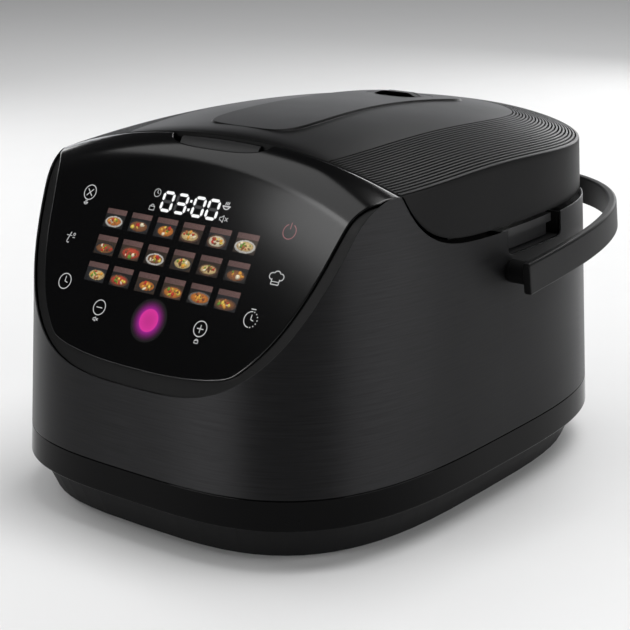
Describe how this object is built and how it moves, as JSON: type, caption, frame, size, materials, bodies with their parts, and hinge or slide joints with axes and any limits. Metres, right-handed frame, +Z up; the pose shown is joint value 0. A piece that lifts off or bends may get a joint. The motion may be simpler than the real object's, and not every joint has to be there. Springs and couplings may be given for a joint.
{
  "type": "multicooker",
  "caption": "Countertop multicooker with a drafted oval metal body, sloped glass control panel, domed hinged lid, bowl and folding rear carry handle.",
  "frame": {"origin": "centre of the whole box in plan with the handle folded back, on the floor under the feet", "axes": "+Z up, +Y from the control panel to the rear, +X to the right as seen from the front"},
  "size_m": [0.3072, 0.3804, 0.229],
  "materials": {
    "jacket_metal": "dark horizontally brushed satin",
    "gloss_black": "gloss",
    "base_black": "matte",
    "panel_gloss": "mirror gloss over printed graphics",
    "frame_black": "satin",
    "lid_plastic": "satin with fine ribs",
    "handle_plastic": "satin",
    "trim_grey": "satin",
    "deck_plastic": "satin",
    "bowl_coating": "non-stick satin",
    "steel": "satin",
    "cast_aluminium": "satin",
    "rubber_black": "matte",
    "seal_rubber": "matte silicone",
    "board_green": "solder mask"
  },
  "bodies": {
    "body": {"rubber_feet": "rubber_black", "base_pan": "base_black", "base_screws": "steel", "base_band": "gloss_black", "chassis_plate": "steel", "power_board": "board_green", "plate_legs": "steel", "heating_plate": "cast_aluminium", "sensor_bracket": "steel", "sensor_spring": "steel", "inner_can": "steel", "cooking_bowl": "bowl_coating", "housing": "jacket_metal", "ladle_socket": "trim_grey", "mains_inlet": "base_black", "inlet_pins": "steel", "top_deck": "deck_plastic", "panel_frame": "frame_black", "control_panel": "panel_gloss", "control_board": "board_green", "button_spring": "steel", "latch_pin": "steel", "handle_pivots": "handle_plastic", "hinge_bracket": "handle_plastic", "hinge_pin": "steel"},
    "lid": {"lid_cover": "lid_plastic", "lid_inner_frame": "deck_plastic", "lid_screws": "steel", "lid_catch": "steel", "inner_lid": "cast_aluminium", "lid_gasket": "seal_rubber", "inner_lid_clips": "deck_plastic", "hinge_leaf": "handle_plastic"},
    "handle": {"carry_handle": "handle_plastic"},
    "button": {"release_button": "trim_grey"},
    "latch": {"latch_hook": "steel"},
    "valve": {"steam_valve": "lid_plastic"},
    "sensor": {"temperature_sensor": "cast_aluminium"}
  },
  "joints": [
    {"name": "lid_hinge", "type": "hinge", "parent": "body", "child": "lid", "pos_m": [0, 0.17123, 0.18], "axis": [-1, 0, 0], "range_deg": [0, 85]},
    {"name": "handle_swing", "type": "hinge", "parent": "body", "child": "handle", "pos_m": [0, 0.00173, 0.142], "axis": [1, 0, 0], "range_deg": [0, 85.4]},
    {"name": "button_press", "type": "slide", "parent": "body", "child": "button", "axis": [0, 0, -1], "range_m": [0, 0.003], "stiffness_N_per_m": 400, "springref_m": -0.002, "deforming": ["button_spring"]},
    {"name": "latch_turn", "type": "hinge", "parent": "body", "child": "latch", "pos_m": [0, -0.12047, 0.17994], "axis": [-1, 0, 0], "range_deg": [0, 22.1]},
    {"name": "valve_lift", "type": "slide", "parent": "lid", "child": "valve", "axis": [0, 0, 1], "range_m": [0, 0.04]},
    {"name": "sensor_press", "type": "slide", "parent": "body", "child": "sensor", "axis": [0, 0, -1], "range_m": [0, 0.002], "stiffness_N_per_m": 500, "springref_m": -0.002, "deforming": ["sensor_spring"]}
  ],
  "couplings": [
    {"joint": "latch_turn", "follows": "button_press", "rad_per_m": 127.9}
  ]
}
